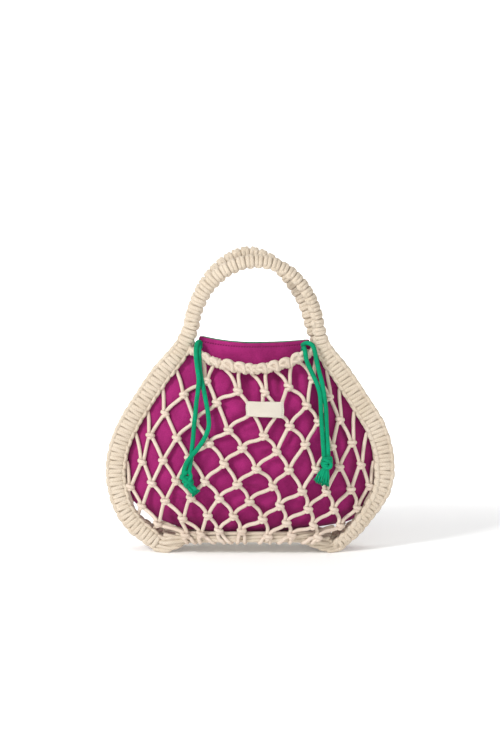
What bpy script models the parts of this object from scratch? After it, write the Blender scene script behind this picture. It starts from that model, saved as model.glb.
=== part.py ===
"""Macrame handbag, standing: two knotted cord faces round a drawstring pouch.

Each face is a side band at the left and right, an arched handle, a knotted rim
and a diamond net. A crowned sheet of cords joins the four feet under the pouch.
+X is the bag's right, -Y its front, +Z up, and the feet stand on Z = 0.
Tables and sizes are in millimetres. MM turns them into metres.
"""

import math
from collections import namedtuple

import bmesh
import bpy
import numpy as np
from mathutils import Vector

MM = 0.001
FRONT, BACK = -1, 1

# Driving sizes
SEAT = 0.3              # gap between pieces that touch
NET_CORD = 4.7
BAND_DEPTH_TOP = 7.3    # middle plane of the bag to the middle of a band
HANDLE_FOOT = 256.3     # height where the handles leave the side bands
HANDLE_THICK = 13.0
RIM_RADIUS = 5.5
RIM_LOW, RIM_RISE = 224.0, 20.0     # height of the rim's dip, rise to its ends
RIM_MIDDLE, RIM_REACH = 4.0, 72.0
RIM_HANG = 8.6          # rim's centre line down to the net's top edge
CLOTH = 1.8             # pouch cloth with its seam allowance
FACING = 1.0
FOLD = 2.2              # half depth of the pouch at its side folds
FULLNESS = 2.3          # exponent of the pouch's swell from side to side
BASE_REACH = (-79.7, 72.7)
BASE_EDGE = 34.0
STRING = 4.8            # drawstring cord

# Side bands from the handle down to the tip of the foot. left and right are the
# distances of the centre line from the middle of the bag.
BandRow = namedtuple("BandRow", "left right height depth width thick")
BAND_ROWS = [BandRow(*row) for row in (
    (75.0, 83.0, 256.0, 7.3, 20, 13),
    (84.5, 92.5, 245.0, 7.3, 22, 14),
    (108.5, 112.0, 215.0, 7.3, 23.5, 14),
    (132.3, 135.0, 179.0, 7.3, 23.5, 14),
    (149.0, 152.0, 151.0, 7.3, 23.5, 14),
    (159.5, 161.0, 124.0, 7.3, 23.5, 14),
    (163.3, 163.3, 98.0, 7.6, 23.5, 14),
    (161.0, 159.0, 79.0, 9.0, 23.5, 14),
    (154.3, 151.8, 60.0, 11.5, 23.5, 15),
    (143.6, 134.6, 41.0, 15.0, 24, 16),
    (131.3, 118.2, 26.5, 18.0, 24.5, 17),
    (117.0, 104.5, 12.0, 19.6, 25, 18),
    (106.0, 95.5, 9.4, 19.6, 22, 20),
    (95.0, 85.5, 9.2, 18.8, 19, 21),
    (86.0, 78.0, 11.5, 18.3, 13, 22.5),
    (80.0, 73.0, 14.0, 18.2, 8, 27),
)]

# How far a face stands from the middle plane at its fullest, and the exponent of
# its swell from side to side.
CROWN = np.array((
    # height, depth, fullness
    (10.0, 36.9, 9.0), (30.0, 38.5, 6.0), (45.0, 41.5, 3.5), (65.0, 45.5, 2.6), (90.0, 49.0, 2.3),
    (115.0, 50.0, 2.3), (145.0, 48.0, 2.3), (170.0, 44.0, 2.3), (190.0, 39.0, 2.3), (205.0, 33.0, 2.3),
    (218.0, 24.5, 2.3), (224.0, 24.0, 2.3), (256.0, 20.0, 2.3),
))

# Knots of the net, row by row. The knots of a row crowd towards its ends by
# spread, lean sideways by shift, and bow and tilt in height.
KnotRow = namedtuple("KnotRow", "count left right spread shift left_up right_up bow tilt")
KNOT_ROWS = [KnotRow(*row) for row in (
    (5, -52, 75, -10, 6, 210, 211, -13, -2),
    (6, -79, 95, 9, 10, 193, 190, -14, 1),
    (7, -102, 108, 23, 11, 170, 162, -14, -2),
    (8, -120, 123, 45, 10, 143, 134, -7, 0),
    (9, -133, 134, 62, 6, 111, 107, 1, 5),
    (10, -145, 145, 71, 5, 79, 80, 7, 7),
    (9, -131, 130, 32, 0, 57, 54, 12, 6),
    (8, -111, 109, 1, -3, 37, 34, 12, 4),
    (7, -78, 78, 20, -9, 24, 24, 3, 1),
)]
HANG_OFFSETS = (-13.0, 4.0)     # rim knots to the left and right of a top knot
EDGE_HEIGHTS = (220.0, 197.0, 169.0, 143.0, 108.0)   # net meets the bands above
EDGE_ROOM = 4.3         # net cord's centre line to a band's inner edge
HOOK_HEIGHT = 13.5      # net passes under the base

# Pouch, bottom to mouth: reach to the left and right, half depth at the side
# folds and at the middle.
PouchRow = namedtuple("PouchRow", "height left right side middle")
POUCH_ROWS = [PouchRow(*row) for row in (
    (25.4, 78, 74, 6.0, 12.0),
    (33.0, 104, 94, 7.0, 23.0),
    (43.0, 120, 112, 8.0, 31.0),
    (57.0, 135, 129, 6.0, 36.5),
    (78.0, 145, 144, 4.5, 41.0),
    (108.0, 146, 147, 4.0, 43.5),
    (137.0, 135, 139, 4.0, 42.0),
    (171.0, 117, 120, 4.0, 37.0),
    (198.0, 99, 105, 4.0, 29.0),
    (217.0, 84, 91, 3.6, 17.0),
    (238.0, 66, 73, 3.2, 12.5),
    (253.0, 59, 67, 3.2, 8.0),
)]
FACING_INSET = np.array((0.0, 5.5, 5.5, 1.5, 2.3))   # of the facing inside the pouch, by column
MOUTH_RISE = {-1: 6.5, 1: 2.0}      # the mouth's corners stand this much above its middle

# Drawstrings from the mouth's corners to the knots: x, distance in front of the
# bag's middle plane, height.
STRING_ROUTES = {
    "drawstring_left_a": (
        (-56.5, 5.6, 251.0), (-60.5, 11.0, 254.0), (-64.3, 17.5, 253.0), (-65.3, 23.0, 246.5),
        (-65.2, 25.2, 240.0), (-64.8, 26.3, 234.5), (-61.8, 29.0, 223.0), (-60.5, 33.0, 214.0),
        (-61.2, 36.0, 205.0),
        (-62.5, 37.5, 195.5), (-64.0, 39.5, 185.0), (-65.0, 42.5, 173.0), (-66.5, 44.5, 160.5),
        (-67.5, 47.0, 146.5), (-69.0, 48.5, 133.5), (-72.0, 49.5, 121.0), (-75.5, 49.5, 105.0),
    ),
    "drawstring_left_b": (
        (-55.5, 6.0, 245.0), (-57.5, 11.0, 249.0), (-59.5, 17.5, 249.5), (-60.0, 22.7, 245.7),
        (-60.0, 25.0, 240.0), (-59.5, 24.8, 234.0), (-58.8, 23.9, 222.5), (-58.0, 27.5, 212.5),
        (-55.8, 33.5, 202.5),
        (-53.3, 39.5, 191.0), (-51.0, 43.8, 179.5), (-49.3, 47.0, 168.0), (-49.0, 49.0, 158.5),
        (-51.0, 50.5, 150.5), (-55.0, 51.3, 141.5), (-60.5, 52.0, 132.5), (-66.0, 53.0, 122.0),
        (-69.3, 52.0, 112.0), (-70.3, 50.0, 103.0),
    ),
    "drawstring_right_a": (
        (64.0, 5.7, 244.5), (64.5, 11.5, 248.0), (65.3, 17.8, 248.1), (66.3, 24.1, 242.7),
        (67.7, 25.0, 234.5), (71.0, 24.8, 226.5), (75.0, 25.0, 218.0), (79.0, 27.0, 209.5),
        (82.0, 29.0, 201.5), (84.0, 31.5, 192.0), (84.8, 35.0, 178.0), (85.3, 38.5, 164.5),
        (86.2, 42.0, 150.5), (87.2, 44.0, 136.0), (88.3, 45.0, 121.5),
    ),
    "drawstring_right_b": (
        (63.5, 5.3, 250.8), (67.0, 11.5, 253.8), (71.3, 16.7, 254.2), (75.0, 20.0, 251.7),
        (77.3, 21.8, 246.5), (79.0, 22.5, 238.0), (81.0, 23.0, 228.5), (83.3, 24.0, 219.0),
        (85.5, 26.5, 211.0), (87.5, 29.0, 201.5), (89.3, 31.0, 189.5), (91.0, 34.0, 175.5),
        (92.0, 37.5, 161.5), (92.8, 40.5, 147.5), (93.8, 43.0, 134.5), (94.6, 44.5, 121.8),
    ),
}

LABEL_CENTRE = (18.0, 173.5)
LABEL_SIZE = (45.0, 20.0)
LABEL_THICK = 1.2
LABEL_SEAT = 0.6


# Curves and surfaces

def smooth(points, count):
    """Even samples of a Catmull-Rom curve through the points."""
    points = np.array(points, float)
    padded = np.vstack((2 * points[0] - points[1], points, 2 * points[-1] - points[-2]))
    dense = []
    for p0, p1, p2, p3 in zip(padded, padded[1:], padded[2:], padded[3:]):
        for t in np.linspace(0, 1, 12, endpoint=False):
            dense.append(0.5 * (2 * p1 + (p2 - p0) * t + (2 * p0 - 5 * p1 + 4 * p2 - p3) * t**2
                                + (3 * p1 - p0 - 3 * p2 + p3) * t**3))
    dense = np.array(dense + [points[-1]])
    along = np.concatenate(([0], np.cumsum(np.linalg.norm(np.diff(dense[:, :3], axis=0), axis=1))))
    steps = np.linspace(0, along[-1], count)
    return np.column_stack([np.interp(steps, along, column) for column in dense.T])


def band_stations(hand, count=32):
    """Centre, width direction, depth, width and thickness along one band."""
    reach = [row.left if hand < 0 else row.right for row in BAND_ROWS]
    rows = smooth([(hand * x, row.height, row.depth, row.width, row.thick)
                   for x, row in zip(reach, BAND_ROWS)], count)
    run = np.gradient(rows[:, :2], axis=0)
    run /= np.linalg.norm(run, axis=1)[:, None]
    across = np.column_stack((-run[:, 1], run[:, 0])) * -hand
    across[0] = (-hand, 0)
    across[-1] = (0, 1)
    return rows, across


def band_inner_edge(hand):
    """The band's inner edge as height and x, from the foot up."""
    rows, across = band_stations(hand, 60)
    edge = rows[:, :2] + across * rows[:, 3:4] / 2
    edge = edge[edge[:, 1] > 26][::-1]
    return edge[:, 1], edge[:, 0]


INNER = {hand: band_inner_edge(hand) for hand in (-1, 1)}


def inner_x(hand, height):
    return float(np.interp(height, *INNER[hand]))


def band_depth(height):
    heights = [row.height for row in reversed(BAND_ROWS[:12])]
    return float(np.interp(height, heights, [row.depth for row in reversed(BAND_ROWS[:12])]))


def face_depth(x, height):
    """Distance of a face's surface from the middle plane of the bag."""
    left, right = inner_x(-1, height), inner_x(1, height)
    across = min(1.0, abs(2 * x - left - right) / (right - left))
    side = band_depth(height)
    crown, fullness = (float(np.interp(height, CROWN[:, 0], CROWN[:, column])) for column in (1, 2))
    return side + (crown - side) * (1 - across**fullness)


def rim_point(x):
    """x, depth and height of the rim's centre line."""
    height = RIM_LOW + RIM_RISE * ((x - RIM_MIDDLE) / RIM_REACH)**2
    return x, face_depth(x, height - RIM_HANG), height


# Mesh helpers

def material(name, colour, roughness):
    made = bpy.data.materials.new(name)
    made.use_nodes = True
    shader = made.node_tree.nodes["Principled BSDF"]
    shader.inputs["Base Color"].default_value = (*colour, 1)
    shader.inputs["Roughness"].default_value = roughness
    shader.inputs["Metallic"].default_value = 0.0
    return made


def add_mesh(name, colour, vertices, faces, collection):
    mesh = bpy.data.meshes.new(name)
    mesh.from_pydata([Vector(v) * MM for v in vertices], [], faces)
    body = bmesh.new()
    body.from_mesh(mesh)
    bmesh.ops.recalc_face_normals(body, faces=body.faces)
    body.to_mesh(mesh)
    body.free()
    mesh.shade_smooth()
    item = bpy.data.objects.new(name, mesh)
    collection.objects.link(item)
    mesh.materials.append(material(name, colour, 0.9))
    return item


def loft(name, colour, rings, collection):
    """A closed body through rings of equally many points."""
    size = len(rings[0])
    vertices = [point for ring in rings for point in ring]
    faces = [(r * size + i, r * size + (i + 1) % size, (r + 1) * size + (i + 1) % size, (r + 1) * size + i)
             for r in range(len(rings) - 1) for i in range(size)]
    last = (len(rings) - 1) * size
    faces += [tuple(range(size)), tuple(range(last, last + size))]
    return add_mesh(name, colour, vertices, faces, collection)


def strap_ring(centre, across, through, width, thick):
    """Eight points of a rounded strap section, never below the floor."""
    ring = []
    for a, b in ((1, 0.55), (0.7, 1), (-0.7, 1), (-1, 0.55), (-1, -0.55), (-0.7, -1), (0.7, -1), (1, -0.55)):
        point = centre + across * a * width / 2 + through * b * thick / 2
        ring.append((point[0], point[1], max(point[2], 0.0)))
    return ring


def tube(name, colour, points, radius, collection):
    curve = bpy.data.curves.new(name, "CURVE")
    curve.dimensions = "3D"
    curve.bevel_depth = radius * MM
    curve.bevel_resolution = 2
    curve.use_fill_caps = True
    line = curve.splines.new("POLY")
    line.points.add(len(points) - 1)
    for point, place in zip(line.points, points):
        point.co = (*(Vector(place) * MM), 1)
    item = bpy.data.objects.new(name, curve)
    collection.objects.link(item)
    curve.materials.append(material(name, colour, 0.9))
    return item


# Sub-parts

COTTON = (0.83, 0.73, 0.58)
MAGENTA = (0.43, 0.03, 0.20)
GREEN = (0.01, 0.30, 0.12)
TAPE = (0.88, 0.82, 0.70)


def side_band(name, hand, face, collection):
    """A square-knot band from the junction round the side to the foot."""
    rows, across = band_stations(hand)
    rings = []
    for (x, height, depth, width, thick), side in zip(rows, across):
        centre = np.array((x, face * depth, height))
        rings.append(strap_ring(centre, np.array((side[0], 0, side[1])),
                                np.array((0, face, 0)), width, thick))
    loft(name, COTTON, rings, collection)


Arch = namedtuple("Arch", "middle half_span rise roundness lean leg_width top_width")
ARCHES = {
    FRONT: Arch(5.5, 78.0, 97.4, 1.93, 30.0, 19.5, 16.8),
    BACK: Arch(2.0, 79.5, 104.4, 1.74, 27.0, 19.5, 16.8),
}


def arch_points(face, count):
    """Centre line of a handle, evenly spaced, with its width."""
    arch = ARCHES[face]
    power = 2 / arch.roundness
    points = []
    for angle in np.linspace(math.pi, 0, 6 * count):
        x = math.copysign(abs(math.cos(angle))**power, math.cos(angle))
        up = math.sin(angle)**power
        depth = BAND_DEPTH_TOP + (arch.lean - BAND_DEPTH_TOP) * up**1.3
        width = arch.leg_width + (arch.top_width - arch.leg_width) * up**3
        points.append((arch.middle + arch.half_span * x, face * depth, HANDLE_FOOT + arch.rise * up, width))
    return smooth(points[::3] + points[-1:], count)


def handle(name, face, collection):
    """A round-topped handle that leans away from its twin."""
    points = arch_points(face, 25)
    run = np.gradient(points[:, :3], axis=0)
    run /= np.linalg.norm(run, axis=1)[:, None]
    rings = []
    for place, (*centre, width), ahead in zip(range(len(points)), points, run):
        if place in (0, len(points) - 1):
            ahead = np.array((0.0, 0.0, 1.0 if place == 0 else -1.0))
        through = np.array((0.0, face, 0.0)) - ahead * ahead[1] * face
        through /= np.linalg.norm(through)
        across = np.cross(through, ahead)
        rings.append(strap_ring(np.array(centre), across, through, width, HANDLE_THICK))
    loft(name, COTTON, rings, collection)


def rim(name, face, collection):
    """The knotted heading across a face, dipping in the middle."""
    ends = inner_x(-1, 243) + 8.5, inner_x(1, 243) - 8.5
    points = []
    for x in np.linspace(*ends, 16):
        x, depth, height = rim_point(x)
        points.append((x, face * depth, height))
    tube(name, COTTON, points, RIM_RADIUS, collection)


def knot_row(row):
    """x and height of each knot of a row."""
    places = []
    for t in np.linspace(0, 1, row.count):
        x = row.left + (row.right - row.left) * t - row.spread * math.sin(math.tau * t) / math.tau
        x += row.shift * math.sin(math.pi * t)
        height = row.left_up + (row.right_up - row.left_up) * t
        height += row.bow * math.sin(math.pi * t) + row.tilt * math.sin(math.tau * t)
        x = max(edge_place(-1, height)[0], min(x, edge_place(1, height)[0]))
        places.append((x, height))
    return places


def edge_place(hand, height):
    """Where the net lies against a band's inner edge."""
    return inner_x(hand, height) - hand * EDGE_ROOM, height


def rim_place(x):
    return x, rim_point(x)[2] - RIM_HANG


def net_cells():
    """The net's meshes, each a list of (x, height) corners in order."""
    rows = [knot_row(row) for row in KNOT_ROWS]
    widest = max(range(len(rows)), key=lambda place: len(rows[place]))
    hangs = [[rim_place(x + offset) for offset in HANG_OFFSETS] for x, _ in rows[0]]
    cells = [[a, b, knot] for (a, b), knot in zip(hangs, rows[0])]
    for k in range(len(rows[0]) - 1):
        cells.append([hangs[k][1], hangs[k + 1][0], rows[0][k + 1], rows[1][k + 1], rows[0][k]])
    for above, middle, below in zip(rows, rows[1:], rows[2:]):
        grow, drop = len(middle) > len(above), len(below) > len(middle)
        for k in range(len(middle) - 1):
            top = above[k] if grow else above[k + 1]
            cells.append([top, middle[k + 1], below[k + 1] if drop else below[k], middle[k]])
    for hand in (-1, 1):
        end = 0 if hand < 0 else -1
        edges = [edge_place(hand, height) for height in EDGE_HEIGHTS]
        corner = (inner_x(hand, 232) - hand * 5.0, 230.0)
        hang = hangs[end][0 if hand < 0 else 1]
        cells.append([edges[0], corner, hang, rows[0][end], rows[1][end]])
        for place in range(1, widest):
            cells.append([edges[place - 1], rows[place][end], rows[place + 1][end], edges[place]])
    hooks = [(x, HOOK_HEIGHT) for x, _ in rows[-1]]
    for k in range(len(rows[-1]) - 1):
        cells.append([rows[-2][k + 1], rows[-1][k + 1], hooks[k + 1], hooks[k], rows[-1][k]])
    for end in (0, -1):
        cells.append([rows[-2][end], rows[-1][end], hooks[end]])
    return cells


def net(name, face, collection):
    """A diamond net of round cord, modelled as one lattice of bars."""
    body = bmesh.new()
    corners = {}
    for cell in net_cells():
        loop = []
        for x, height in cell:
            key = (round(x, 3), round(height, 3))
            if key not in corners:
                place = Vector((x, face * face_depth(x, height), height)) * MM
                corners[key] = body.verts.new(place)
            loop.append(corners[key])
        body.faces.new(loop)
    bmesh.ops.recalc_face_normals(body, faces=body.faces)
    mesh = bpy.data.meshes.new(name)
    body.to_mesh(mesh)
    body.free()
    item = bpy.data.objects.new(name, mesh)
    collection.objects.link(item)
    mesh.materials.append(material(name, COTTON, 0.9))
    bars = item.modifiers.new("bars", "WIREFRAME")
    bars.thickness = NET_CORD * MM
    bars.offset = 0.0
    bars.use_even_offset = True
    bars.use_relative_offset = False
    bars.use_boundary = True
    bars.use_replace = True


def pouch_half(row, across):
    """Half depth of the pouch, across from -1 at its left fold to 1."""
    return row.side + (row.middle - row.side) * (1 - abs(across)**FULLNESS)


def pouch_ring(row, fold=FOLD):
    """An outline of the pouch at one height, front from left to right, then back."""
    spread = np.sin(np.linspace(-0.5, 0.5, 12) * math.pi)
    middle, half = (row.right - row.left) / 2, (row.right + row.left) / 2
    ring = []
    for face in (FRONT, BACK):
        for across in spread * -face:
            x = middle + across * (half - row.side * 0.5)
            depth = pouch_half(row, across)
            if abs(across) > 0.999:
                x = middle + across * half
                depth = fold
            rise = MOUTH_RISE[int(math.copysign(1, across))] * across**2 * max(0.0, (row.height - 217) / 36)
            ring.append((x, face * depth, row.height + rise))
    return ring


def pouch(name, collection):
    """The cotton pouch: an open shell that swells between the two faces."""
    rings = [pouch_ring(row) for row in POUCH_ROWS]
    size = len(rings[0])
    vertices = [point for ring in rings for point in ring]
    faces = [(r * size + i, r * size + (i + 1) % size, (r + 1) * size + (i + 1) % size, (r + 1) * size + i)
             for r in range(len(rings) - 1) for i in range(size)]
    faces.append(tuple(range(size)))
    item = add_mesh(name, MAGENTA, vertices, faces, collection)
    wall = item.modifiers.new("cloth", "SOLIDIFY")
    wall.thickness = CLOTH * MM
    wall.offset = -1
    wall.use_even_offset = True


def base(name, collection):
    """The crowned sheet of side-by-side cords between the feet."""
    rings = []
    for x in np.linspace(*BASE_REACH, 11):
        along = abs(2 * x - sum(BASE_REACH)) / (BASE_REACH[1] - BASE_REACH[0])
        top = 25.0 - 7.0 * along**3
        thick = 5.5 + 2.0 * along**3
        edge = BASE_EDGE - 2.5 * along**3
        ring = []
        for below, order in ((0, 1), (thick, -1)):
            for y in np.array((-1, -0.6, 0, 0.6, 1))[::order] * edge:
                ring.append((x, y, top - 6.0 * (1 - along**3) * (y / edge)**2 - below))
        rings.append(ring)
    loft(name, COTTON, rings, collection)


def string_points(name, radius_steps=2.4):
    """Points of a drawstring's centre line, 2 to 3 diameters apart."""
    places = [(x, -forward, height) for x, forward, height in STRING_ROUTES[name]]
    fine = smooth(places, 200)
    length = np.linalg.norm(np.diff(fine, axis=0), axis=1).sum()
    return smooth(places, round(length / (STRING * radius_steps)) + 1)


def lump(name, colour, centre, size, turn, collection):
    """A pulled-tight knot: a rounded lump."""
    body = bmesh.new()
    bmesh.ops.create_uvsphere(body, u_segments=10, v_segments=7, radius=0.5)
    bmesh.ops.scale(body, vec=Vector(size) * MM, verts=body.verts)
    mesh = bpy.data.meshes.new(name)
    body.to_mesh(mesh)
    body.free()
    mesh.shade_smooth()
    item = bpy.data.objects.new(name, mesh)
    item.location = Vector(centre) * MM
    item.rotation_euler = (0, math.radians(turn), 0)
    collection.objects.link(item)
    mesh.materials.append(material(name, colour, 0.9))


def tassel(name, colour, top, bottom, radii, collection):
    """A frayed end that flares from the knot."""
    top, bottom = Vector(top), Vector(bottom)
    run = bottom - top
    body = bmesh.new()
    bmesh.ops.create_cone(body, cap_ends=True, segments=10, radius1=radii[0] * MM,
                          radius2=radii[1] * MM, depth=run.length * MM)
    mesh = bpy.data.meshes.new(name)
    body.to_mesh(mesh)
    body.free()
    item = bpy.data.objects.new(name, mesh)
    item.location = (top + bottom) / 2 * MM
    item.rotation_mode = "QUATERNION"
    item.rotation_quaternion = run.to_track_quat("Z", "Y")
    collection.objects.link(item)
    mesh.materials.append(material(name, colour, 0.9))


def label(name, collection):
    """A blank folded tape that lies on the front net."""
    wide, tall = LABEL_SIZE
    columns, rows = 7, 3
    vertices = []
    for v in np.linspace(-0.5, 0.5, rows):
        for u in np.linspace(-0.5, 0.5, columns):
            x, height = LABEL_CENTRE[0] + u * wide, LABEL_CENTRE[1] + v * tall
            vertices.append((x, -(face_depth(x, height) + NET_CORD / 2 + LABEL_SEAT), height))
    faces = [(r * columns + c, r * columns + c + 1, (r + 1) * columns + c + 1, (r + 1) * columns + c)
             for r in range(rows - 1) for c in range(columns - 1)]
    mesh = bpy.data.meshes.new(name)
    mesh.from_pydata([Vector(v) * MM for v in vertices], [], faces)
    item = bpy.data.objects.new(name, mesh)
    collection.objects.link(item)
    mesh.materials.append(material(name, TAPE, 0.85))
    tape = item.modifiers.new("tape", "SOLIDIFY")
    tape.thickness = LABEL_THICK * MM
    tape.offset = 1


def lining(name, collection):
    """The facing inside the mouth, whose edge shows above the cloth."""
    rings = []
    for t in (-0.1, 0.35, 0.7, 1.07):
        outer = np.array(POUCH_ROWS[-2]) * (1 - t) + np.array(POUCH_ROWS[-1]) * t
        rings.append(pouch_ring(PouchRow(*(outer - FACING_INSET)), FACING * 1.4))
    size = len(rings[0])
    vertices = [point for ring in rings for point in ring]
    faces = [(r * size + i, r * size + (i + 1) % size, (r + 1) * size + (i + 1) % size, (r + 1) * size + i)
             for r in range(len(rings) - 1) for i in range(size)]
    item = add_mesh(name, GREEN, vertices, faces, collection)
    wall = item.modifiers.new("cloth", "SOLIDIFY")
    wall.thickness = FACING * MM
    wall.offset = -1
    wall.use_even_offset = True


def build():
    for item in list(bpy.data.objects):
        bpy.data.objects.remove(item, do_unlink=True)
    bag = bpy.data.collections.new("macrame_handbag")
    bpy.context.scene.collection.children.link(bag)
    for face, word in ((FRONT, "front"), (BACK, "back")):
        handle(f"handle_{word}", face, bag)
        side_band(f"side_band_left_{word}", -1, face, bag)
        side_band(f"side_band_right_{word}", 1, face, bag)
        rim(f"rim_{word}", face, bag)
        net(f"net_{word}", face, bag)
    base("base_cords", bag)
    pouch("pouch", bag)
    lining("mouth_lining", bag)
    label("label", bag)
    for name in STRING_ROUTES:
        tube(name, GREEN, string_points(name), STRING / 2, bag)
    lump("knot_left", GREEN, (-76.0, -49.5, 93.5), (13, 11, 21), 12, bag)
    tassel("tassel_left", GREEN, (-74.0, -50.2, 82.5), (-64.5, -52.0, 77.0), (4.5, 6.0), bag)
    lump("knot_right", GREEN, (91.5, -45.0, 114.5), (14, 12, 14), 0, bag)
    tassel("tassel_right", GREEN, (89.8, -45.8, 107.0), (83.5, -49.5, 87.0), (4.0, 9.0), bag)


build()
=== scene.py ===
"""Macrame handbag: the knotted cords, the cotton pouch, the drawstrings and the label.

The tables and sizes are in millimetres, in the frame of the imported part: +X is to the
right as the bag's front is seen, -Y is its front and +Z is up. MM turns them into metres.
"""

import math
from collections import namedtuple

import bpy
import numpy as np
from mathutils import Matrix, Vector, kdtree


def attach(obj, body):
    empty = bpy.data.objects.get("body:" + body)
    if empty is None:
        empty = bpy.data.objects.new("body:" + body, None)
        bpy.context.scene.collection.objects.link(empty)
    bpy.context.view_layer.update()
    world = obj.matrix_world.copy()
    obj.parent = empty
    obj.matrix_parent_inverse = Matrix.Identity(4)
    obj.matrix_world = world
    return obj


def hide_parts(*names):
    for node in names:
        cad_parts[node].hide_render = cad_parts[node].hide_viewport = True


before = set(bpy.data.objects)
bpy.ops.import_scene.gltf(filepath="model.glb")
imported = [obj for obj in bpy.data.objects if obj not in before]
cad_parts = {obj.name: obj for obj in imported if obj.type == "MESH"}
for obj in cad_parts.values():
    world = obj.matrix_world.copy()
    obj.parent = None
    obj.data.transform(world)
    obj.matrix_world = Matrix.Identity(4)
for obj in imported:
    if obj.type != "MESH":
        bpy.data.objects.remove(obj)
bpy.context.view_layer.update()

MM = 0.001
FRONT, BACK = -1, 1     # a face of the bag: the sign of its y
LEFT, RIGHT = -1, 1     # a hand of the bag: the sign of its x
rng = np.random.default_rng(7)

# Sizes
CORD = 4.9              # cotton cord of the bands, handles and rims
NET_CORD = 4.6
STRING_WIDE = 5.5
BAR_PITCH = 5.2         # one bar of a square knot to the next, along the cord
BAND_DEPTH_TOP = 7.3    # from the middle plane to the bands where the handles start
HANDLE_FOOT = 256.3     # height where a band turns into a handle
RIM_LOW, RIM_RISE = 224, 20     # the rim's lowest height, and its rise RIM_REACH from there
RIM_MIDDLE, RIM_REACH = 4, 72
RIM_END = 243           # height where the rim meets the bands
RIM_HANG = 8.6          # the rim stands as far out as the face does this far below it
POUCH_SWELL = 2.3       # exponent of the pouch's swell from side to side
NECK_FOOT = 217         # height from which the pouch's two corners rise to the mouth
MOUTH_V = 227.6         # v of the pouch's cloth at its mouth, in mm up from its floor
FACING_LONG, FACING_WIDE = 270, 20      # the strip of the mouth's facing, laid flat
WALL = 0.9              # thickness of the facing and of the label's tape

# The middle line of each side band, from the handle down to its foot. The two hands share
# each row's distance from the middle plane and its thickness.
BandRow = namedtuple("BandRow", "depth thick reach height width")
BAND_SECTIONS = ((7.3, 14), (7.3, 14), (7.3, 14), (7.3, 14), (7.3, 14), (7.6, 14), (9, 14), (11.5, 14.5),
                 (15, 15.5), (17, 16), (18.6, 16.5), (19.4, 17), (19.4, 18))
BAND_LINES = {
    # reach, height and width
    LEFT: (
        (83.5, 245, 22), (108.3, 215, 24.5), (132.3, 179, 25), (149, 151, 25), (159.5, 124, 25),
        (163.3, 98, 25), (161.6, 79, 24), (157.6, 63, 23), (149.8, 46, 23), (138.5, 32, 23),
        (124.5, 21, 22.5), (114.6, 12.8, 21), (108.4, 7.8, 16.5),
    ),
    RIGHT: (
        (89.5, 245, 21), (111.3, 215, 24), (135, 179, 25), (152, 151, 25), (161, 124, 25),
        (163.3, 98, 25), (161, 79, 23), (154, 63, 20.5), (143, 47, 18.5), (131, 31.5, 18),
        (119, 19.8, 17.5), (109.5, 11.4, 17), (103.6, 6.6, 13.5),
    ),
}
BANDS = {hand: [BandRow(*section, *line) for section, line in zip(BAND_SECTIONS, lines)]
         for hand, lines in BAND_LINES.items()}
# How much further out each row of a back band stands.
BACK_OUT = (0, 0, 0, 0, 0, 0, 0, 1, 2.6, 3.4, 3, 1, 0)

# The handle of each face: the x of its top, how far its left and right legs reach and how wide they
# are, how round its shoulders are, how high it rises and leans out, and its width, turns and
# thicknesses over the top.
Arch = namedtuple("Arch", "top reach legs round rise lean wide turns thick")
ARCHES = {
    FRONT: Arch(7.6, (80.1, 76.3), (18.8, 16.4), (1.99, 2.04), 97.4, 30, 16.6, (-7, -42), (13, 12)),
    BACK: Arch(-1, (73.6, 78), (18, 18), (1.84, 1.72), 104.7, 27, 16.6, (-52, -28), (13, 13)),
}

# Paired knots that stand up from the rim: place along it, rise and half width.
RIM_BUMPS = (
    (-66, 4, 4.5), (-53.5, 6, 4.2), (-44, 4.8, 4.6), (-26.5, 8.2, 5.6), (-12.5, 7.8, 5.8),
    (-1.5, 7, 4), (5.5, 5.4, 3.8), (13.5, 6.8, 5.2), (27.5, 8, 5.4), (40.5, 8, 5.6),
    (54.5, 9, 4.8), (62.5, 7.2, 4.4), (73, 3.5, 4),
)

# How far a face stands from the middle plane at its fullest, and the exponent of
# its swell from side to side.
CROWN = np.array((
    # height, depth, fullness
    (10, 36.9, 9), (30, 38.5, 6), (45, 41.5, 3.5), (65, 45.5, 2.6), (90, 49, 2.3),
    (115, 50, 2.3), (145, 48, 2.3), (170, 44, 2.3), (190, 39, 2.3), (205, 33, 2.3),
    (218, 24.5, 2.3), (224, 24, 2.3), (256, 20, 2.3),
))

# Rows of knots in the net, from the top: how many, the x of the first and the last, how far the
# others spread out and shift to the right, the heights of the two ends, and how the row bows and tilts.
KnotRow = namedtuple("KnotRow", "count left right spread shift left_up right_up bow tilt")
KNOT_ROWS = [KnotRow(*row) for row in (
    (5, -52, 75, -10, 6, 210, 211, -13, -2),
    (6, -79, 95, 9, 10, 193, 190, -14, 1),
    (7, -102, 108, 23, 11, 170, 162, -14, -2),
    (8, -120, 123, 45, 10, 143, 134, -7, 0),
    (9, -133, 134, 62, 6, 111, 107, 1, 5),
    (10, -145, 145, 71, 5, 79, 80, 7, 7),
    (9, -131, 130, 32, 0, 57, 54, 12, 6),
    (8, -111, 109, 1, -3, 37, 34, 12, 4),
    (7, -78, 78, 20, -9, 24, 24, 3, 1),
)]
# The two knots under the label, by row and place in it.
UNDER_LABEL = {(1, 2): (2, 174.6), (1, 3): (33.4, 173.6)}
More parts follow.
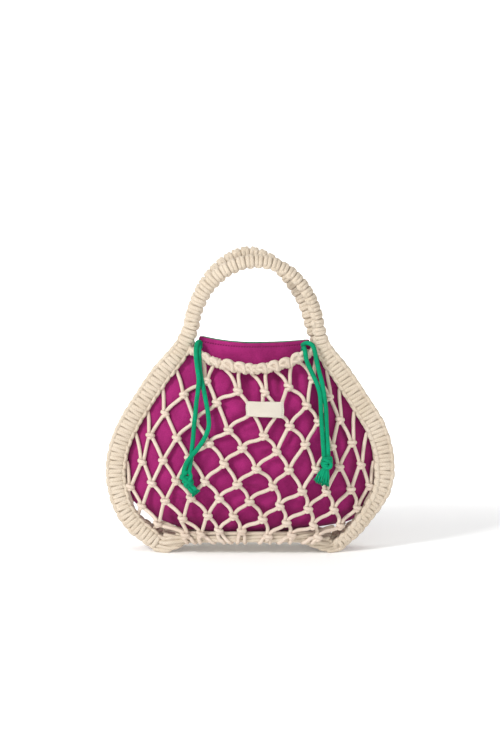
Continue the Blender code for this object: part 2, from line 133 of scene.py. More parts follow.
# Knots that sit off the even rows: row, place in it, and the shift.
OFF_ROW = {
    (2, 1): (-1, 3.5), (2, 3): (2.5, -5), (2, 4): (-3.5, 3.5), (2, 5): (0, 3.5), (3, 1): (-1, 3.5),
    (3, 2): (1, 2.5), (3, 4): (0, -2.5), (3, 5): (-2.5, 4.5), (4, 0): (3, 0), (4, 2): (-1, 3.5),
    (4, 3): (3.5, 0), (4, 4): (1, -2.5), (4, 6): (-2.5, 2.5), (4, 7): (-2.5, 2.5), (5, 5): (2.5, 2.5),
    (5, 7): (-3.5, 0), (7, 4): (3.5, 0), (8, 2): (-1, 3), (8, 3): (-1, 3), (8, 4): (1, -3),
    (8, 6): (4, -2.5),
}
# Where the two cords of each top knot leave the rim, to its left and right.
HANGS = ((-4, 8), (-16, 1), (-16, 1.5), (-15.5, 3.5), (-15, 6))
# Where the net's side cords leave the bands, and how far below their knots the lowest ones reach them.
EDGE_HEIGHTS = (220, 197, 169, 143, 108)
EDGE_DROPS = (22, 12, 9)
# How far the two cords of each bottom knot go sideways as they turn under the base.
FORKS = ((4, 9), (1, 13), (8, 12), (-3, 2), (-8, 0), (-13, -4), (-15, -9))

# The base: half its depth to the outer laid cord, the lip cords' distances in front of the middle
# plane and heights, where the feet are, and the height of the cord that runs down to each.
BASE_HALF = 32.3
LIP_CORDS = ((32.8, 25), (34, 20.7), (34, 16.6))
FOOT_REACH = {LEFT: 107, RIGHT: 99}
FOOT_CORD_HIGH = {LEFT: 35, RIGHT: 29.5}
# Cords that turn under each foot: height at the band, height at the end, and length.
FINGERS = {
    LEFT: ((20.5, 20, 34), (16.5, 16, 33), (12, 11.6, 31), (7.4, 7, 27), (3, 2.8, 18)),
    RIGHT: ((16.5, 14, 35), (13, 11.2, 32), (9.6, 8.2, 27), (6, 5.2, 20), (2.8, 2.8, 12)),
}

# The pouch's outline: how far it reaches to its left and right, and its depth at its sides and middle.
PouchRow = namedtuple("PouchRow", "height left right side middle")
POUCH_ROWS = [PouchRow(*row) for row in (
    (25.8, 82, 76, 8, 23),
    (33, 103, 117, 8.5, 29.5),
    (40, 116, 130, 8, 33),
    (49, 131, 140, 6.5, 35.8),
    (60, 143, 147, 5, 38.5),
    (78, 150.5, 151.5, 4.5, 41),
    (108, 150, 150, 4, 43.5),
    (137, 142, 145, 4, 42),
    (171, 126, 128, 4, 37),
    (198, 108, 111, 4, 29),
    (217, 93, 97, 3.6, 17),
    (232, 79, 86, 3.4, 14),
    (241, 67, 76, 3.2, 12),
    (253, 61, 71.5, 3.2, 8),
)]
# How much higher the mouth's two corners are than its middle.
MOUTH_RISE = {LEFT: 7.8, RIGHT: 3.6}
# Creases of the cloth: from x, height to x, height, with depth and half width.
CREASES = (
    (-7, 218, 3, 197, 5.5, 4.5), (-12, 188, -42, 174, 1.6, 5), (-2, 150, 21, 158, 2.2, 4),
    (54, 174, 47, 140, 2.6, 4), (51, 220, 58, 200, 5.5, 4.8), (-18, 218, -24, 192, 3.2, 3.4),
    (31, 221, 38, 198, 4.6, 4), (80, 96, 58, 86, 2, 4), (-8, 86, 12, 78, 1.8, 4),
    (-47, 210, -54, 184, 2.8, 3.8), (80, 205, 84, 160, 3.4, 4.2), (-80, 150, -66, 128, 1.8, 5),
    (-40, 120, -16, 104, 1.6, 5), (20, 126, 44, 112, 1.8, 4.5), (-95, 70, -70, 58, 1.6, 4.5),
    (30, 60, 60, 50, 1.8, 4.5), (-30, 252, -34, 234, 1, 3.5), (2, 252, 6, 236, 0.9, 3.5),
    (33, 252, 28, 236, 1, 3.5), (102, 188, 122, 138, 3.2, 6), (124, 134, 134, 84, 3.4, 6),
    (98, 140, 108, 96, 2.6, 5.5), (74, 128, 84, 92, 2.4, 5), (96, 72, 122, 60, 2.6, 5.5),
    (44, 88, 60, 66, 2.2, 5), (-6, 62, 20, 52, 2, 5), (14, 206, 16, 190, 3, 4.5),
    (72, 172, 80, 146, 3.2, 5),
)

LABEL_CENTRE = (17.7, 178.2)
LABEL_SIZE = (45.2, 17.9)

# Drawstrings: x, distance in front of the middle plane, height.
STRING_ROUTES = {
    "drawstring_left_a": (
        (-58.9, 1.6, 251), (-60.8, 6.5, 254.6), (-63, 13.6, 254.8), (-64.5, 19.8, 250.2),
        (-64.8, 24.2, 242), (-64.2, 26.6, 234), (-62.6, 29.5, 222.5), (-61.2, 33.5, 213),
        (-61.6, 36.4, 205), (-62.5, 37.5, 195.5), (-64, 39.5, 185), (-65, 42.5, 173),
        (-66.5, 44.5, 160.5), (-67.5, 46.5, 146.5), (-68.8, 47.6, 133.5), (-69.8, 48.3, 122.5),
        (-71.2, 49.3, 113), (-72.6, 49.8, 103),
    ),
    "drawstring_left_b": (
        (-59.2, 1.8, 246), (-60.2, 7, 250.2), (-60.9, 13.6, 250.4), (-61, 18.8, 246.6),
        (-60.8, 21.4, 239.8), (-60.4, 22.4, 231.5), (-59.6, 24.2, 222.5), (-58.2, 28.2, 212.5),
        (-55.8, 33.5, 202.5), (-53.3, 39.5, 191), (-51, 43.8, 179.5), (-49.3, 47, 168),
        (-49, 49, 158.5), (-51.5, 50.5, 150), (-56, 51.6, 141), (-62, 52.8, 132.3),
        (-69, 53.6, 124), (-75.2, 53, 115.5), (-78.4, 51.6, 107), (-79, 50.5, 101),
    ),
    "drawstring_right_a": (
        (64, 5.7, 244.5), (64.5, 11.5, 248), (65.3, 17.8, 248.1), (66.3, 24.1, 242.7),
        (67.7, 25, 234.5), (71, 24.8, 226.5), (75, 25, 218), (79, 27, 209.5),
        (82, 29, 201.5), (84, 31.5, 192), (84.8, 35, 178), (85.3, 38.5, 164.5),
        (86.2, 42, 150.5), (87.2, 44, 136), (88.3, 45, 121.5),
    ),
    "drawstring_right_b": (
        (63.5, 5.3, 250.8), (67, 11.5, 253.8), (71.3, 16.7, 254.2), (75, 20, 251.7),
        (77.3, 21.8, 246.5), (79, 22.5, 238), (81, 23, 228.5), (83.3, 24, 219),
        (85.5, 26.5, 211), (87.5, 29, 201.5), (89.3, 31, 189.5), (91, 34, 175.5),
        (91.4, 37.5, 161.5), (91.9, 40.5, 147.5), (92.8, 43, 134.5), (93.4, 44.5, 121.8),
    ),
}

# The knot at the end of each pair of strings: its place and axis, its turns (distance along the
# axis, half width, half depth and lean) and their radius, then the strands laid over them, each
# with its points, samples and radius.
Knot = namedtuple("Knot", "centre axis turns radius strands")
KNOTS = {
    "left": Knot(
        (-75.3, -49.5, 94), (0.45, -0.03, -1),
        ((-7.4, 4, 3.4, 18), (-2.6, 5, 3.9, -26), (2, 4.6, 3.8, -20), (6.6, 3.8, 3.2, 10)), 2.55,
        ((((-79.5, -50, 101), (-79.8, -54.6, 97.5), (-75.5, -56.2, 93.5), (-70.5, -54.5, 90.5),
           (-69, -50.5, 91)), 24, 2.5),
         (((-72, -51, 103), (-70.4, -54, 99), (-71.6, -55.4, 95.5), (-76.5, -54.8, 89.5),
           (-77.5, -51.5, 87.5)), 24, 2.3))),
    "right": Knot(
        (91.5, -45, 114.3), (-0.12, -0.03, -1),
        ((-4.6, 4.2, 3.4, 10), (-0.2, 5, 3.9, 24), (4.4, 4, 3.4, -8)), 2.6,
        ((((87, -46, 117), (88.5, -50.6, 118.6), (93, -51.6, 117), (96.6, -49.6, 113.5),
           (95.5, -49.8, 109), (91, -50, 108.2), (88, -47, 109.5)), 32, 2.35),)),
}
KNOT_OUT = (0, -1, 0.05)        # the way the knots and their ends face
# The eight plies of the right strings' ends: how far across and forward each fans, and its length.
PLIES = ((-1, 0.1, 16.5), (-0.62, 0.7, 18.5), (-0.2, 1, 17), (0.2, 0.8, 19.5),
         (0.6, 0.9, 17.5), (1, 0.3, 18.5), (-0.35, -0.4, 17), (0.4, -0.4, 18))


# Curves and surfaces

def unit(v):
    v = np.asarray(v, float)
    return v / np.maximum(np.linalg.norm(v, axis=-1, keepdims=True), 1e-12)


def square_to(run, out):
    """The part of each out that is square to its run, as unit vectors."""
    return unit(out - run * np.sum(out * run, axis=1, keepdims=True))


def clamp(value, low=0.0):
    return min(1.0, max(low, value))


def signed_power(value, power):
    return np.sign(value) * np.abs(value)**power


def circle(count):
    """Even angles round a circle."""
    return np.linspace(0, math.tau, count, endpoint=False)


def distances(points):
    """How far along a path each of its points is."""
    return np.concatenate(([0], np.cumsum(np.linalg.norm(np.diff(points, axis=0), axis=1))))


def smooth(points, count):
    """Even samples of a Catmull-Rom curve through the points."""
    points = np.array(points, float)
    padded = np.vstack((2 * points[0] - points[1], points, 2 * points[-1] - points[-2]))
    t = np.linspace(0, 1, 12, endpoint=False)[:, None]
    dense = [0.5 * (2 * p1 + (p2 - p0) * t + (2 * p0 - 5 * p1 + 4 * p2 - p3) * t**2
                    + (3 * p1 - p0 - 3 * p2 + p3) * t**3)
             for p0, p1, p2, p3 in zip(padded, padded[1:], padded[2:], padded[3:])]
    dense = np.vstack(dense + [points[-1:]])
    along = distances(dense[:, :3])
    steps = np.linspace(0, along[-1], count)
    return np.column_stack([np.interp(steps, along, column) for column in dense.T])


def band_inner_edge(hand):
    """Heights and x of a band's inner edge, from the height of the base up."""
    rows = smooth([(hand * row.reach, row.height, row.width) for row in BANDS[hand]], 60)
    run = unit(np.gradient(rows[:, :2], axis=0))
    across = np.column_stack((-run[:, 1], run[:, 0])) * -hand
    edge = rows[:, :2] + across * rows[:, 2:3] / 2
    edge = edge[edge[:, 1] > 26][::-1]
    return edge[:, 1], edge[:, 0]


INNER_EDGES = {hand: band_inner_edge(hand) for hand in (LEFT, RIGHT)}
BAND_HEIGHTS = np.array([row.height for row in BANDS[LEFT]][::-1])
BAND_DEPTHS = np.array([row.depth for row in BANDS[LEFT]][::-1])


def inner_x(hand, height):
    return np.interp(height, *INNER_EDGES[hand])


def face_depth(x, height):
    """Distance of a face's surface from the middle plane of the bag."""
    left, right = inner_x(LEFT, height), inner_x(RIGHT, height)
    across = np.minimum(1.0, np.abs(2 * x - left - right) / (right - left))
    side = np.interp(height, BAND_HEIGHTS, BAND_DEPTHS)
    crown = np.interp(height, CROWN[:, 0], CROWN[:, 1])
    fullness = np.interp(height, CROWN[:, 0], CROWN[:, 2])
    return side + (crown - side) * (1 - across**fullness)


def rim_height(x):
    return RIM_LOW + RIM_RISE * ((x - RIM_MIDDLE) / RIM_REACH)**2


def rim_point(x, face, forward=0.0, up=0.0):
    """A point of the rim's middle line, or forward of it and above it."""
    height = rim_height(x)
    return np.array((x, face * (face_depth(x, height - RIM_HANG) + forward), height + up))


# Materials

class Look:
    """A material, its slot, and short ways to make and join its nodes."""

    def __init__(self, name, slot=None):
        self.slot = slot
        self.material = bpy.data.materials.new(name)
        self.material.use_nodes = True
        self.tree = self.material.node_tree

    def feed(self, socket, value):
        if isinstance(value, bpy.types.NodeSocket):
            self.tree.links.new(value, socket)
        else:
            socket.default_value = value

    def node(self, kind, inputs=(), **settings):
        node = self.tree.nodes.new(kind)
        for key, value in settings.items():
            setattr(node, key, value)
        for key, value in dict(inputs).items():
            self.feed(node.inputs[key], value)
        return node

    def uv(self):
        """The sockets of u and v."""
        uv_map = self.node("ShaderNodeUVMap", uv_map="cord").outputs[0]
        split = self.node("ShaderNodeSeparateXYZ", {"Vector": uv_map}).outputs
        return split[0], split[1]

    def math(self, operation, a, b=0.0):
        return self.node("ShaderNodeMath", {0: a, 1: b}, operation=operation).outputs[0]

    def weigh(self, a, share_a, b, share_b):
        return self.math("ADD", self.math("MULTIPLY", a, share_a), self.math("MULTIPLY", b, share_b))

    def fade(self, near, reach):
        """1 where near is 0, falling to 0 at reach."""
        return self.math("SUBTRACT", 1.0, self.math("MINIMUM", self.math("DIVIDE", near, reach), 1.0))

    def noise(self, scale, detail):
        place = self.node("ShaderNodeTexCoord").outputs["Object"]
        return self.node("ShaderNodeTexNoise", {"Vector": place, "Scale": scale, "Detail": detail,
                                                "Roughness": 0.6}).outputs["Fac"]

    def ramp(self, fac, low, high):
        """A colour between two stops, each a place and a colour."""
        node = self.node("ShaderNodeValToRGB", {"Fac": fac})
        for element, (place, colour) in zip(node.color_ramp.elements, (low, high)):
            element.position = place
            element.color = (*colour, 1)
        return node.outputs["Color"]

    def mix(self, fac, a, b, blend="MIX"):
        return self.node("ShaderNodeMix", {0: fac, 6: a, 7: b}, data_type="RGBA", blend_type=blend).outputs[2]

    def bump(self, height, distance, strength, normal=None):
        inputs = {"Height": height, "Distance": distance, "Strength": strength}
        if normal:
            inputs["Normal"] = normal
        return self.node("ShaderNodeBump", inputs).outputs["Normal"]

    def set(self, **inputs):
        """Sets the shader's inputs by name."""
        shader = self.tree.nodes["Principled BSDF"]
        for name, value in inputs.items():
            self.feed(shader.inputs[name.replace("_", " ")], value)
        return self


def cord_look(name, slot, light, dark, sheen, stitch=1.5):
    """A braided cotton cord. UV u runs along the cord in mm, v once round it."""
    look = Look(name, slot)
    u, v = look.uv()
    along = look.math("MULTIPLY", u, math.tau / (2.0 * stitch))
    around = look.math("MULTIPLY", v, math.tau * 5)
    plies = [look.math("SINE", look.math(way, along, around)) for way in ("ADD", "SUBTRACT")]
    braid = look.math("MAXIMUM", *plies)
    tone = look.weigh(look.noise(38.0, 3.0), 0.6, look.noise(420.0, 2.0), 0.4)
    colour = look.ramp(tone, (0.36, dark), (0.62, light))
    # painted shade: the colour is darkened in the grooves between the braid's plies
    shade = look.ramp(braid, (0.0, (0.8, 0.78, 0.75)), (0.7, (1, 1, 1)))
    colour = look.mix(0.5, colour, look.mix(1.0, colour, shade, "MULTIPLY"))
    height = look.weigh(braid, 0.6, look.noise(2600.0, 2.0), 0.8)
    return look.set(Base_Color=colour, Roughness=0.92, Specular_IOR_Level=0.2, Sheen_Weight=sheen,
                    Sheen_Roughness=0.5, Normal=look.bump(height, 0.00022, 0.8))


# A line of stitches at a u or a v: its place, the length of a stitch and a gap in mm, how deep it
# pulls the cloth in, in metres, and how dark its thread is.
Stitches = namedtuple("Stitches", "axis place pitch depth ink")


def cloth_look(name, slot, light, dark, thread=0.45, sheen=0.25, stitches=()):
    """Plain-weave cotton. UV is in mm of cloth, across and up."""
    look = Look(name, slot)
    u, v = look.uv()
    warp, weft = [look.math("SINE", look.math("MULTIPLY", way, math.tau / (2 * thread))) for way in (u, v)]
    weave = look.math("MULTIPLY", warp, weft)
    slub = look.noise(900.0, 2.0)
    tone = look.weigh(look.noise(30.0, 4.0), 0.55, slub, 0.45)
    colour = look.ramp(tone, (0.35, dark), (0.65, light))
    normal = look.bump(look.weigh(weave, 0.35, slub, 0.9), 0.00018, 0.7)
    for line in stitches:
        across, along = (v, u) if line.axis == "v" else (u, v)
        near = look.math("ABSOLUTE", look.math("SUBTRACT", across, line.place))
        wave = look.math("SINE", look.math("MULTIPLY", along, math.tau / line.pitch))
        thread_on = look.math("MULTIPLY", look.fade(near, 1.0), look.math("GREATER_THAN", wave, -0.3))
        ink = (*(c * 0.35 for c in dark), 1)
        colour = look.mix(look.math("MULTIPLY", thread_on, line.ink), colour, ink)
        groove = look.math("MULTIPLY", look.fade(near, 1.6), -1.0)
        normal = look.bump(groove, line.depth, 1.0, normal)
    return look.set(Base_Color=colour, Roughness=0.88, Specular_IOR_Level=0.22, Sheen_Weight=sheen,
                    Sheen_Roughness=0.4, Normal=normal)


# Camera, floor and lights, in metres

FLOOR_FLAT, FLOOR_BEND = 4.0, 2.0       # how far back it is flat, and the radius where it turns up
FLOOR_HALF, BACKDROP_TOP = 9.0, 8.0
# Lamps: name, place, aim, size and power.
LAMPS = (
    ("key", (-1.7, -1.55, 1.6), (0, 0, 0.15), 0.55, 46),
    ("fill", (0.6, -2.5, 0.9), (0, 0, 0.1), 1.8, 5.5),
    ("low", (-0.1, -2.2, 0.16), (0, 0, 0.02), 1.2, 10),
    ("side", (2.2, 0.4, 0.7), (0, 0, 0.0), 1.6, 5),
    ("back", (-0.9, 1.7, 1.9), (0, 0, 0.2), 1.6, 5),
    ("sweep", (0, 1.4, 2.6), (0, 5.5, 0.6), 3.0, 150),
)


def add_object(name, data):
    item = bpy.data.objects.new(name, data)
    bpy.context.scene.collection.objects.link(item)
    return item


def add_floor():
    """A pale floor that turns up into a backdrop behind the bag."""
    outline = [(-FLOOR_FLAT, 0.0), (FLOOR_FLAT, 0.0)]
    for angle in np.radians(np.arange(9, 91, 9)):
        outline.append((FLOOR_FLAT + FLOOR_BEND * math.sin(angle), FLOOR_BEND - FLOOR_BEND * math.cos(angle)))
    outline.append((FLOOR_FLAT + FLOOR_BEND, BACKDROP_TOP))
    points = [(x, y, z) for y, z in outline for x in (-FLOOR_HALF, FLOOR_HALF)]
    mesh = bpy.data.meshes.new("floor")
    mesh.from_pydata(points, [], [(k, k + 1, k + 3, k + 2) for k in range(0, len(points) - 2, 2)])
    mesh.shade_smooth()
    paper = Look("paper")
    paper.set(Base_Color=(0.96, 0.96, 0.96, 1), Roughness=0.9, Specular_IOR_Level=0.1,
              Emission_Color=(1, 1, 1, 1), Emission_Strength=0.1)
    mesh.materials.append(paper.material)
    add_object("floor", mesh)


def stage():
    scene = bpy.context.scene
    camera = add_object("camera", bpy.data.cameras.new("camera"))
    camera.data.lens = 83.09
    camera.location = (0.0, -2.0843, 0.4697)
    camera.rotation_euler = (math.radians(83.0), 0, 0)
    scene.camera = camera
    add_floor()
    for name, place, aim, size, power in LAMPS:
        lamp = add_object(name, bpy.data.lights.new(name, "AREA"))
        lamp.data.size = size
        lamp.data.energy = power
        lamp.location = place
        lamp.rotation_euler = (Vector(aim) - Vector(place)).to_track_quat("-Z", "Y").to_euler()
    scene.world = bpy.data.worlds.new("studio")
    scene.world.use_nodes = True
    background = scene.world.node_tree.nodes["Background"]
    background.inputs["Color"].default_value = (1, 1, 1, 1)
    background.inputs["Strength"].default_value = 0.62
    scene.view_settings.view_transform = "Standard"


# Mesh builder

# The rings that round off a cord's two ends: how far each is past the path, and its size, in radii.
END_AHEAD, END_SIZE = (-0.95, -0.62, 0.62, 0.95), (0.3, 0.78, 0.78, 0.3)
END_RINGS = [0, 1, -2, -1]


def carried(run):
    """Directions square to a path that turn no more than the path does."""
    side = np.array((0.0, 1.0, 0.0) if abs(run[0][1]) < 0.8 else (0.0, 0.0, 1.0))
    sides = []
    for ahead in run:
        side = unit(side - ahead * np.dot(side, ahead))
        sides.append(side)
    return np.array(sides)


class Build:
    """Collects tubes and sheets, with UVs in mm, into one mesh."""

    def __init__(self):
        self.vertices, self.quads, self.uvs = [], [], []
        self.count = 0

    def grid(self, points, uv, wrap=False):
        """A grid of points, rows by columns. wrap joins its last column to its first."""
        rows, columns = points.shape[:2]
        index = np.arange(rows * columns).reshape(rows, columns) + self.count
        if wrap:
            index = np.hstack((index, index[:, :1]))
        quads = np.stack((index[:-1, :-1], index[:-1, 1:], index[1:, 1:], index[1:, :-1]), axis=-1)
        corners = np.stack((uv[:-1, :-1], uv[:-1, 1:], uv[1:, 1:], uv[1:, :-1]), axis=-2)
        self.vertices.append(points.reshape(-1, 3))
        self.quads.append(quads.reshape(-1, 4))
        self.uvs.append(corners.reshape(-1, 4, 2))
        self.count += rows * columns

    def tube(self, path, radius, sides=10, out=None, flat=1.0, closed=False, square=1.0):
        """A cord along a path. flat scales its section along out, and square under 1 fills its corners."""
        path = np.asarray(path, float)
        count = len(path)
        radius = np.broadcast_to(np.asarray(radius, float), (count,))
        run = unit(np.roll(path, -1, 0) - np.roll(path, 1, 0) if closed else np.gradient(path, axis=0))
        side = carried(run) if out is None else square_to(run, np.asarray(out, float))
        other = np.cross(run, side)
        length = distances(path)
        if not closed:
            spot = np.clip(np.arange(-2, count + 2), 0, count - 1)
            ahead, size = np.zeros(count + 4), np.ones(count + 4)
            ahead[END_RINGS], size[END_RINGS] = END_AHEAD, END_SIZE
            path = path[spot] + run[spot] * radius[spot, None] * ahead[:, None]
            side, other, length, radius = side[spot], other[spot], length[spot], radius[spot] * size
        high, wide = [signed_power(wave(circle(sides)), square) for wave in (np.cos, np.sin)]
        ring = (high[None, :, None] * side[:, None, :] * flat
                + wide[None, :, None] * other[:, None, :]) * radius[:, None, None]
        points = path[:, None, :] + ring
        v = np.linspace(0, 1, sides + 1)
        if closed:
            points = np.vstack((points, points[:1]))
            length = np.append(length, length[-1] + np.linalg.norm(path[0] - path[-1]))
        self.grid(points, np.stack(np.meshgrid(length, v, indexing="ij"), axis=-1), wrap=True)
        if not closed:
            first = self.count - points.shape[0] * sides
            self.fan(np.arange(first, first + sides)[::-1])
            self.fan(np.arange(self.count - sides, self.count))

    def cord(self, route, count, radius, sides=10, mirror=(1, 1, 1), flat=1.0):
        """A cord on a smooth curve through the points of a route, which mirror may turn over."""
        self.tube(smooth(np.array(route) * mirror, count), radius, sides, flat=flat)

    def turn(self, centre, across, wide, out, deep, radius, sides, count=20, flat=0.9, shift=0.0):
        """A closed turn of cord: its half width across and its half depth out."""
        angle = circle(count)
        path = (centre + shift + across * (np.cos(angle) * wide)[:, None]
                + out * (np.sin(angle) * deep)[:, None])
        self.tube(path, radius, sides, out=unit(path - centre), flat=flat, closed=True)

    def fan(self, ring):
        """Closes a ring of vertices with quads."""
        for k in range(1, len(ring) - 2, 2):
            self.quads.append(np.array([[ring[0], ring[k], ring[k + 1], ring[k + 2]]]))
            self.uvs.append(np.zeros((1, 4, 2)))

    def finish(self, name, look, node):
        """Makes the piece that stands for a CAD node."""
        mesh = bpy.data.meshes.new(name)
        mesh.from_pydata((np.vstack(self.vertices) * MM).tolist(), [], np.vstack(self.quads).tolist())
        layer = mesh.uv_layers.new(name="cord")
        layer.data.foreach_set("uv", np.concatenate(self.uvs).astype(np.float32).ravel())
        mesh.validate()
        mesh.shade_smooth()
        mesh.materials.append(look.material)
        item = add_object(name, mesh)
        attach(item, "root")
        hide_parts(node)
        return item


# Bands and handles: one chain of square knots from foot to foot

Frame = namedtuple("Frame", "place width thick run out inward")
# The bars on a band and on a handle: how far two slide together into a knot, their lean in degrees,
# their radius in pitches, and how square their section is.
Bar = namedtuple("Bar", "slide lean fat square")
BARS = {"band": Bar(0.12, 4.0, 0.525, 0.68), "handle": Bar(0.3, 2.0, 0.505, 0.78)}
# A side loop: how far it is in front of the chain's middle, its radius, the share of it that it is
# thick, how far its ends turn in, and how far it stands out.
Loop = namedtuple("Loop", "shift size flat dip proud")


def band_rows(face, hand):
    """x, y, z, width, thickness and turn down a band."""
    rows = []
    for row, out in zip(BANDS[hand], BACK_OUT):
        out = out if face == BACK else 0
        rows.append((hand * (row.reach + out), face * row.depth, row.height - out * 0.7,
                     row.width - out, row.thick, 0.0))
    return rows


def handle_rows(face):
    """The same over a handle, from left to right."""
    arch = ARCHES[face]
    rows = []
    for angle in np.linspace(math.pi, 0, 61):
        side = 0 if angle > math.pi / 2 else 1
        power = 2 / arch.round[side]
        x = signed_power(math.cos(angle), power)
        up = math.sin(angle)**power
        if up < 0.12:       # the smooth curve leads from the band to here
            continue
        depth = BAND_DEPTH_TOP + (arch.lean - BAND_DEPTH_TOP) * up**1.3
        thick, turn = [np.interp(x, (-0.2, 0.6), ends) for ends in (arch.thick, arch.turns)]
        rows.append((arch.top + arch.reach[side] * x, face * depth, HANDLE_FOOT + arch.rise * up,
                     arch.legs[side] + (arch.wide - arch.legs[side]) * up**3, thick,
                     turn * min(1.0, up / 0.3)))
    return rows[::2]


class Chain:
    """Frames along a chain, by distance from its left foot."""

    def __init__(self, face):
        self.face = face
        rows = smooth(band_rows(face, LEFT)[::-1] + handle_rows(face) + band_rows(face, RIGHT), 900)
        self.along = distances(rows[:, :3])
        self.total = self.along[-1]
        run = unit(np.gradient(rows[:, :3], axis=0))
        out = square_to(run, np.array((0.0, face, 0.0)))
        inward = np.cross(run, out) * -face
        turn = np.radians(rows[:, 5:6])
        self.table = np.hstack((rows[:, :5], run, out * np.cos(turn) + inward * np.sin(turn),
                                inward * np.cos(turn) - out * np.sin(turn)))
        on_handle = np.flatnonzero(rows[:, 2] > HANDLE_FOOT)
        self.handle = self.along[on_handle[0]], self.along[on_handle[-1]]
        self.bars = int(round(self.total / BAR_PITCH / 2)) * 2
        self.pitch = self.total / self.bars
        self.builds = {"left": Build(), "handle": Build(), "right": Build()}

    def at(self, s):
        row = np.array([np.interp(s, self.along, column) for column in self.table.T])
        return Frame(row[:3], row[3], row[4], unit(row[5:8]), unit(row[8:11]), unit(row[11:14]))

    def part(self, s):
        return "left" if s < self.handle[0] else "right" if s > self.handle[1] else "handle"

    def add_fillers(self):
        """Three straight cords inside each part, which overlap where the parts meet."""
        start, end = self.handle
        for part, a, b in (("left", 0, start + 6), ("handle", start, end), ("right", end - 6, self.total)):
            frames = [self.at(s) for s in np.linspace(a, b, int((b - a) / 6))]
            radius = [f.thick / 2 - CORD * 0.62 for f in frames]
            for across in (-0.5, 0.0, 0.5):
                path = [f.place + f.inward * across * (f.width - 2.6 * CORD) for f in frames]
                self.builds[part].tube(path, radius, out=[f.out for f in frames])

    def add_bars(self):
        """Closed turns round the fillers, two to a square knot."""
        angle = circle(30)
        for k in range(1, self.bars - 1):
            s = (k + 0.5) * self.pitch
            on_handle = self.part(s) == "handle"
            bar = BARS["handle" if on_handle else "band"]
            turn = 1 if k % 2 else -1
            s -= turn * bar.slide
            f = self.at(s)
            room = np.interp(f.place[0], (0, 40), (2.9, 3.5)) if on_handle else 3.7
            half, deep = f.width / 2 - room, f.thick / 2 - self.pitch * 0.47
            lean = math.tan(math.radians(bar.lean) * turn + rng.normal(0, 0.02))
            a = signed_power(np.cos(angle), 0.6) * half
            n = signed_power(np.sin(angle), 0.6) * deep
            n += np.sign(n) * (0.7 * (1 - (a / half)**2) - 0.2 + rng.normal(0, 0.1))
            slide = rng.normal(0, 0.1) + lean * a * np.where(n > 0, 1, -1)
            path = f.place + f.inward * a[:, None] + f.out * n[:, None] + f.run * slide[:, None]
            fat = self.pitch * (bar.fat + 0.012 * np.sin(angle + k) + 0.012 * turn * a / half)
            out = unit(f.inward * a[:, None] / half**2 + f.out * n[:, None] / deep**2 + 1e-9)
            self.builds[self.part(s)].tube(path, fat, 12, out=out, flat=0.92, closed=True, square=bar.square)

    def side_loops(self, s, way):
        """The loops at one edge of a square knot: one on a handle, front and back ones on a band."""
        x, _, height = self.at(s).place
        part = self.part(s)
        if part == "handle":
            size = np.interp(x, (0, 40), (2.5, 3.1)) if self.face == FRONT else 3.1
            return [Loop(0.0, size, 1.15, 4.0, 0.9 if way > 0 else 0.2)]
        if way < 0:
            return [Loop(shift, 2.75, 1.0, 1.1, 0.2) for shift in (3.5, -3.5)]
        # the right band's inner loops grow towards its foot
        low = np.interp(height, (80, 190), (1.0, 0.25)) if part == "right" else 0.0
        return [Loop(3.4 + 2.2 * low, 2.3 + 1.5 * low, 1.1 - 0.33 * low, 2.0 + 0.5 * low, 0.4 - 0.2 * low),
                Loop(-3.4, 2.3, 1.1, 2.0, -1.0)]

    def add_loops(self):
        """Side loops on the outer and the inner edge, from one square knot to the next."""
        for k in range(1, self.bars, 2):
            s = k * self.pitch
            on_handle = self.part(s) == "handle"
            long, narrow = (0.9, 0.24) if on_handle else (1.0, 0.16)
            for way in (-1, 1):
                for loop in self.side_loops(s, way):
                    path, outs, fat = [], [], []
                    push = rng.normal(0, 0.25)
                    for t in np.linspace(-1, 1, 13):
                        f = self.at(s + (t * long + rng.normal(0, 0.008)) * self.pitch)
                        reach = f.width / 2 + loop.proud + push - loop.size - loop.dip * abs(t)**2.6
                        drop = np.sign(loop.shift) * (abs(loop.shift) + 0.3 - 1.5 * t**4)
                        drop += 0.9 * t if loop.shift >= 0 else -0.9 * t
                        path.append(f.place + f.inward * way * reach + f.out * drop)
                        outs.append(f.out)
                        fat.append(loop.size * (1.0 - narrow * t**4))
                    fat = np.array(fat) * (1 + rng.normal(0, 0.025))
                    self.builds[self.part(s)].tube(path, fat, out=outs, flat=loop.flat)

    def add_ties(self):
        """The cord that ties the net to the inner edge of each band."""
        start, end = self.handle
        for part, a, b in (("left", 30, start - 24), ("right", end + 24, self.total - 30)):
            path = []
            for s in np.linspace(a, b, 90):
                f = self.at(s)
                wave = math.sin(s * math.tau / (self.pitch * 2)) * 0.5
                path.append(f.place + f.inward * (f.width / 2 - 1.6 + wave * 0.5) + f.out * (-1.5 + wave))
            self.builds[part].tube(path, 1.9, 8)


def chain_pieces(face, word, look):
    """A handle and its two bands."""
    chain = Chain(face)
    chain.add_fillers()
    chain.add_bars()
    chain.add_loops()
    chain.add_ties()
    chain.builds["handle"].finish(f"handle_{word}_knots", look, f"handle_{word}")
    for part in ("left", "right"):
        chain.builds[part].finish(f"band_{part}_{word}_knots", look, f"side_band_{part}_{word}")


# Rim

def rim_turn(build, x, face):
    """A turn round the rim's fillers, lower beside a knot."""
    near = min(abs(x - place) for place, _, _ in RIM_BUMPS)
    ahead = unit(rim_point(x + 1, face) - rim_point(x - 1, face))
    up = unit(np.cross(np.cross(ahead, (0, 0, 1)), ahead))
    tall = (4.7 if near > 6.5 else 3.8) + rng.normal(0, 0.25)
    lean = ahead * rng.normal(0.14, 0.16)
    deep = 3.9 + rng.normal(0, 0.2)
    radius = 2.25 + rng.normal(0, 0.1)
    build.turn(rim_point(x, face), np.array((0, face, 0)), deep, up + lean, tall, radius, 8)


